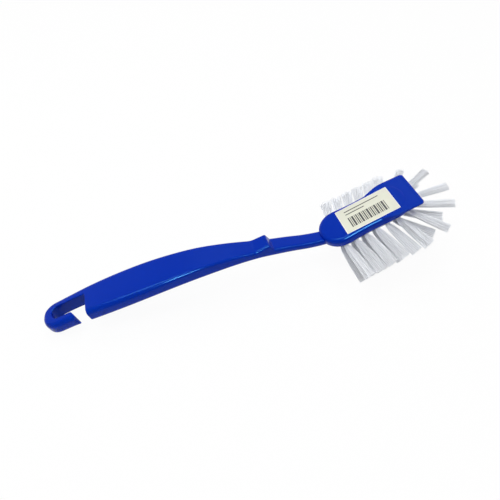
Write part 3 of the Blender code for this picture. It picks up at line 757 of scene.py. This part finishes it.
def make_tuft(name, place, seed):
    """Filaments that go down one side of the anchor, under it and up the other side, and fan out."""
    chance = random.Random(seed)
    curve = bpy.data.curves.new(f"filaments_{name}", "CURVE")
    curve.dimensions = "3D"
    curve.bevel_depth = FILAMENT_DIAMETER / 2
    curve.bevel_resolution = 1
    curve.use_fill_caps = True
    root, across, up, along = (place[word] for word in ("root", "across", "up", "along"))
    fan = place["fan"] - FILAMENT_DIAMETER / 2
    thick = (place["thickness"] - FILAMENT_DIAMETER / 2) / BUNDLE_RADIUS
    places = bundle_places(chance)
    evened = spread(places)
    shades = []

    def at(wide, high, out):
        point = root + across * wide + up * high + along * out
        point.z = max(point.z, FILAMENT_DIAMETER)
        return point

    def free_end(side, i):
        """From the tip to the mouth of the hole."""
        wide, high = places[i]
        length = place["length"] - chance.uniform(0, TRIM_VARIATION)
        tip_wide = fan * evened[i] + chance.gauss(0, TIP_SCATTER)
        tip_high = high * thick + chance.gauss(0, TIP_SCATTER)
        bow = chance.gauss(0, BOW)
        points = []
        for share in FREE_STATIONS:
            sway = bow * math.sin(math.pi * share)
            opened = share**FAN_POWER
            out_wide = wide + (min(tip_wide, fan) - wide) * opened
            points.append(at(side * (out_wide + sway), high + (tip_high - high) * opened, length * share))
        return points

    for i, (wide, high) in enumerate(places):
        inner = max(wide, FOLD_LEAST)
        fold = ANCHOR_DEPTH + ANCHOR_HEIGHT / 2
        path = free_end(1, i) + [at(inner, high, -fold)]
        path.append(at(0, high, -fold - FOLD_DROP - inner * FOLD_ROUND))
        path += [at(-inner, high, -fold)] + free_end(-1, i)[::-1]
        spline = curve.splines.new("POLY")
        spline.points.add(len(path) - 1)
        spline.points.foreach_set("co", [value for point in path for value in (*point, 1)])
        spline.use_smooth = True
        shades.append(chance.random())
    piece = bpy.data.objects.new(f"bristles_{name}", curve)
    bpy.context.scene.collection.objects.link(piece)
    select_only(piece)
    bpy.ops.object.convert(target="MESH")
    piece = bpy.context.object
    mesh = piece.data
    points_each = len(mesh.vertices) // FILAMENTS
    shade = mesh.attributes.new("strand_shade", "FLOAT", "POINT")
    shade.data.foreach_set("value", [s for s in shades for _ in range(points_each)])
    out = mesh.attributes.new("strand_reach", "FLOAT", "POINT")
    reach = [max((v.co - root).dot(along) / place["length"], 0.0) for v in mesh.vertices]
    out.data.foreach_set("value", reach)
    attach(piece, "root")
    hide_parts(f"tuft_{name}")
    return piece


class Value:
    """A shader socket that Python's operators work on: each adds a Math node."""

    def __init__(self, finish, socket):
        self.finish = finish
        self.socket = socket

    def math(self, operation, *others):
        node = self.finish.tree.nodes.new("ShaderNodeMath")
        node.operation = operation
        for slot, value in zip(node.inputs, (self, *others)):
            self.finish.feed(slot, value)
        return Value(self.finish, node.outputs[0])

    def __add__(self, other):
        return self.math("ADD", other)

    def __mul__(self, other):
        return self.math("MULTIPLY", other)

    def __sub__(self, other):
        return self.math("SUBTRACT", other)

    def __rsub__(self, other):
        return (self * -1) + other

    __radd__ = __add__
    __rmul__ = __mul__


def total(values):
    """The sum of a list of shader values."""
    return sum(values[1:], values[0])


class Finish:
    """One surface finish: a Principled shader and the nodes that feed it."""

    def __init__(self, name, **constants):
        self.material = bpy.data.materials.new(name)
        self.material.use_nodes = True
        self.tree = self.material.node_tree
        self.shader = self.tree.nodes["Principled BSDF"]
        for socket, value in constants.items():
            self.shader.inputs[socket.replace("_", " ")].default_value = value

    def feed(self, slot, value):
        """Links a value to a socket, or writes a plain number or colour on it."""
        if isinstance(value, Value):
            self.tree.links.new(value.socket, slot)
        else:
            slot.default_value = value

    def node(self, kind, settings, output, **sockets):
        """Adds any other node: its settings first, then the values or links of its sockets."""
        node = self.tree.nodes.new(kind)
        for name, value in settings.items():
            setattr(node, name, value)
        for name, value in sockets.items():
            self.feed(node.inputs[name.replace("_", " ")], value)
        return Value(self, node.outputs[output])

    def place(self):
        return self.node("ShaderNodeTexCoord", {}, "Object")

    def stretched(self, vector, scale):
        return self.node("ShaderNodeMapping", {}, "Vector", Vector=vector, Scale=scale)

    def noise(self, vector, scale, detail, roughness=0.5):
        return self.node("ShaderNodeTexNoise", {}, "Fac", Vector=vector, Scale=scale,
                         Detail=detail, Roughness=roughness)

    def attribute(self, name):
        return self.node("ShaderNodeAttribute", {"attribute_name": name}, "Fac")

    def blend(self, factor, first, second):
        """A mix of two colours."""
        node = self.tree.nodes.new("ShaderNodeMix")
        node.data_type = "RGBA"
        slots = {slot.name: slot for slot in node.inputs if slot.type == "RGBA"}
        self.feed(node.inputs[0], factor)
        self.feed(slots["A"], first)
        self.feed(slots["B"], second)
        return Value(self, next(slot for slot in node.outputs if slot.type == "RGBA"))

    def within(self, value, low, high, soft):
        """1 where the value lies between two limits, with soft sides, else 0."""
        rise = self.node("ShaderNodeMapRange", {"clamp": True}, "Result", Value=value,
                         From_Min=low - soft, From_Max=low + soft)
        fall = self.node("ShaderNodeMapRange", {"clamp": True}, "Result", Value=value,
                         From_Min=high - soft, From_Max=high + soft)
        return rise * (1 - fall)

    def finish(self, colour, roughness, height, strength, distance):
        """Feeds the shader, with a bump of the given strength and depth."""
        self.feed(self.shader.inputs["Base Color"], colour)
        self.feed(self.shader.inputs["Roughness"], roughness)
        bump = self.node("ShaderNodeBump", {}, "Normal", Height=height, Strength=strength,
                         Distance=distance)
        self.feed(self.shader.inputs["Normal"], bump)
        return self.material


def blue_plastic():
    """Glossy moulded polypropylene: an even blue, faint mould ripple, and fine scuffs."""
    finish = Finish("blue_moulded_plastic", Specular_IOR_Level=0.18, Specular_Tint=PLASTIC_SHEEN)
    place = finish.place()
    cloud = finish.noise(place, scale=24.0, detail=3.0)
    grain = finish.noise(place, scale=1900.0, detail=2.0)
    ripple = finish.noise(place, scale=170.0, detail=1.0)
    along = finish.stretched(place, (60.0, 900.0, 900.0))
    scuff = finish.noise(along, scale=1.0, detail=3.0, roughness=0.7)
    colour = finish.blend(cloud * 0.7 + grain * 0.3, *PLASTIC_BLUES)
    roughness = 0.1 + cloud * 0.04 + scuff * 0.06 + grain * 0.02
    height = ripple * 0.8 + grain * 0.05
    return finish.finish(colour, roughness, height, strength=0.08, distance=0.0002)


def label_paper():
    """Cream label stock with a white cut edge and plain printed bars and rules."""
    finish = Finish("label_paper", Specular_IOR_Level=0.35)
    place = finish.place()
    along = finish.stretched(place, (900.0, 2600.0, 900.0))
    fibre = finish.noise(along, scale=1.0, detail=4.0, roughness=0.65)
    tone = finish.noise(place, scale=160.0, detail=3.0)
    map_place = finish.node("ShaderNodeUVMap", {"uv_map": "print"}, "UV")
    split = finish.tree.nodes.new("ShaderNodeSeparateXYZ")
    finish.feed(split.inputs[0], map_place)
    u, v = Value(finish, split.outputs[0]), Value(finish, split.outputs[1])
    bars, across = [], BAR_START
    for width, gap in BAR_STEPS * BAR_REPEATS:
        bars.append(finish.within(u, across, across + width, PRINT_SOFTNESS))
        across += width + gap
    band = finish.within(v, *BAR_BAND, PRINT_SOFTNESS)
    rules = [
        finish.within(v, low, high, PRINT_SOFTNESS) * finish.within(u, start, end, PRINT_SOFTNESS)
        for low, high, start, end in RULES
    ]
    print_cover = total(bars) * band + total(rules)
    ink = print_cover * (0.93 + fibre * 0.07)
    cream = finish.blend(tone * 0.6 + fibre * 0.4, *LABEL_CREAMS)
    inner_u = finish.within(u, CUT_EDGE_ALONG, 1 - CUT_EDGE_ALONG, CUT_EDGE_ALONG_SOFTNESS)
    inner_v = finish.within(v, CUT_EDGE_ACROSS, 1 - CUT_EDGE_ACROSS, CUT_EDGE_ACROSS_SOFTNESS)
    paper = finish.blend(1 - inner_u * inner_v, cream, LABEL_CUT_WHITE)
    colour = finish.blend(ink, paper, LABEL_INK)
    return finish.finish(colour, 0.5 + fibre * 0.12, fibre, strength=0.15, distance=0.00005)


def white_filament():
    """Milky filaments: each a slightly different white, clearer towards the trimmed tip."""
    finish = Finish("white_filament", Specular_IOR_Level=0.2, Subsurface_Weight=0.45,
                    Subsurface_Radius=(1, 1, 1), Subsurface_Scale=0.0006)
    shade = finish.attribute("strand_shade")
    reach = finish.attribute("strand_reach")
    streak = finish.noise(finish.place(), scale=1400.0, detail=2.0)
    body = finish.blend(shade, *FILAMENT_WHITES)
    colour = finish.blend(reach * 0.35 + streak * 0.1, body, FILAMENT_TIP_WHITE)
    roughness = 0.32 + shade * 0.12 + streak * 0.05
    return finish.finish(colour, roughness, streak, strength=0.1, distance=0.00003)


def drawn_wire():
    """Flat wire: drawn steel with fine lines along it."""
    finish = Finish("drawn_wire", Metallic=1.0)
    along = finish.stretched(finish.place(), (500.0, 5000.0, 5000.0))
    lines = finish.noise(along, scale=1.0, detail=3.0)
    colour = finish.blend(lines, *WIRE_GREYS)
    return finish.finish(colour, 0.28 + lines * 0.2, lines, strength=0.15, distance=0.00002)


def add_camera():
    data = bpy.data.cameras.new("camera")
    data.lens, data.sensor_width = CAMERA_LENS, CAMERA_SENSOR
    data.clip_start = CAMERA_CLIP_START
    camera = bpy.data.objects.new("camera", data)
    bpy.context.scene.collection.objects.link(camera)
    camera.location = CAMERA_PLACE
    camera.rotation_euler = [math.radians(angle) for angle in CAMERA_TURN]
    bpy.context.scene.camera = camera


def add_softbox(name, place, target, width, height, power, lights, shines):
    """A soft lamp, level along its width, that looks at a point. It lights, shines in gloss, or both."""
    data = bpy.data.lights.new(name, "AREA")
    data.shape, data.size, data.size_y, data.energy = "RECTANGLE", width, height, power
    lamp = bpy.data.objects.new(name, data)
    bpy.context.scene.collection.objects.link(lamp)
    lamp.location = place
    lamp.rotation_euler = (Vector(target) - Vector(place)).to_track_quat("-Z", "Y").to_euler()
    lamp.visible_diffuse, lamp.visible_glossy = lights, shines


def white_to_camera(tree, shown, lit, share):
    """Mixes towards a plain white for camera, mirror and clear rays, and keeps the lit shader else."""
    rays = tree.nodes.new("ShaderNodeLightPath")
    direct = rays.outputs["Is Camera Ray"]
    for other in ("Is Glossy Ray", "Is Transmission Ray"):
        either = tree.nodes.new("ShaderNodeMath")
        either.operation = "MAXIMUM"
        tree.links.new(direct, either.inputs[0])
        tree.links.new(rays.outputs[other], either.inputs[1])
        direct = either.outputs[0]
    amount = tree.nodes.new("ShaderNodeMath")
    amount.operation = "MULTIPLY"
    amount.inputs[1].default_value = share
    tree.links.new(direct, amount.inputs[0])
    mix = tree.nodes.new("ShaderNodeMixShader")
    tree.links.new(amount.outputs[0], mix.inputs[0])
    tree.links.new(lit, mix.inputs[1])
    tree.links.new(shown, mix.inputs[2])
    return mix.outputs[0]


def add_studio():
    """A plain white floor that keeps the shadow, a white surround and soft lamps."""
    deselect()
    bpy.ops.mesh.primitive_plane_add(size=FLOOR_SIZE)
    floor = bpy.context.object
    floor.name = "floor"
    material = bpy.data.materials.new("floor_white")
    material.use_nodes = True
    tree = material.node_tree
    shader = tree.nodes["Principled BSDF"]
    shader.inputs["Base Color"].default_value = FLOOR_GREY
    shader.inputs["Roughness"].default_value = FLOOR_ROUGHNESS
    shader.inputs["Specular IOR Level"].default_value = 0.0
    white = tree.nodes.new("ShaderNodeEmission")
    output = tree.nodes["Material Output"]
    mixed = white_to_camera(tree, white.outputs[0], shader.outputs[0], FLOOR_WHITE_SHARE)
    tree.links.new(mixed, output.inputs["Surface"])
    floor.data.materials.append(material)
    world = bpy.data.worlds.new("surround")
    bpy.context.scene.world = world
    world.use_nodes = True
    tree = world.node_tree
    lit = tree.nodes["Background"]
    lit.inputs["Color"].default_value = WHITE
    lit.inputs["Strength"].default_value = SURROUND_LIGHT
    shown = tree.nodes.new("ShaderNodeBackground")
    shown.inputs["Color"].default_value = WHITE
    shown.inputs["Strength"].default_value = 1.0
    mixed = white_to_camera(tree, shown.outputs[0], lit.outputs[0], 1.0)
    tree.links.new(mixed, tree.nodes["World Output"].inputs["Surface"])
    for name, place, width, height, power, lights, shines in LAMPS:
        add_softbox(name, place, LAMP_TARGET, width, height, power, lights, shines)
    bpy.context.scene.view_settings.view_transform = "Standard"


def dress(pieces, material):
    for piece in pieces:
        piece.data.materials.clear()
        piece.data.materials.append(material)


def main():
    add_camera()
    stand = stand_matrix()
    dress([make_body(stand)], blue_plastic())
    dress([make_label(stand)], label_paper())
    tufts = [make_tuft(name, place, seed) for seed, (name, place) in enumerate(PLACES.items())]
    dress(tufts, white_filament())
    dress([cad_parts[f"anchor_{name}"] for name in TUFT_NAMES], drawn_wire())
    add_studio()


main()
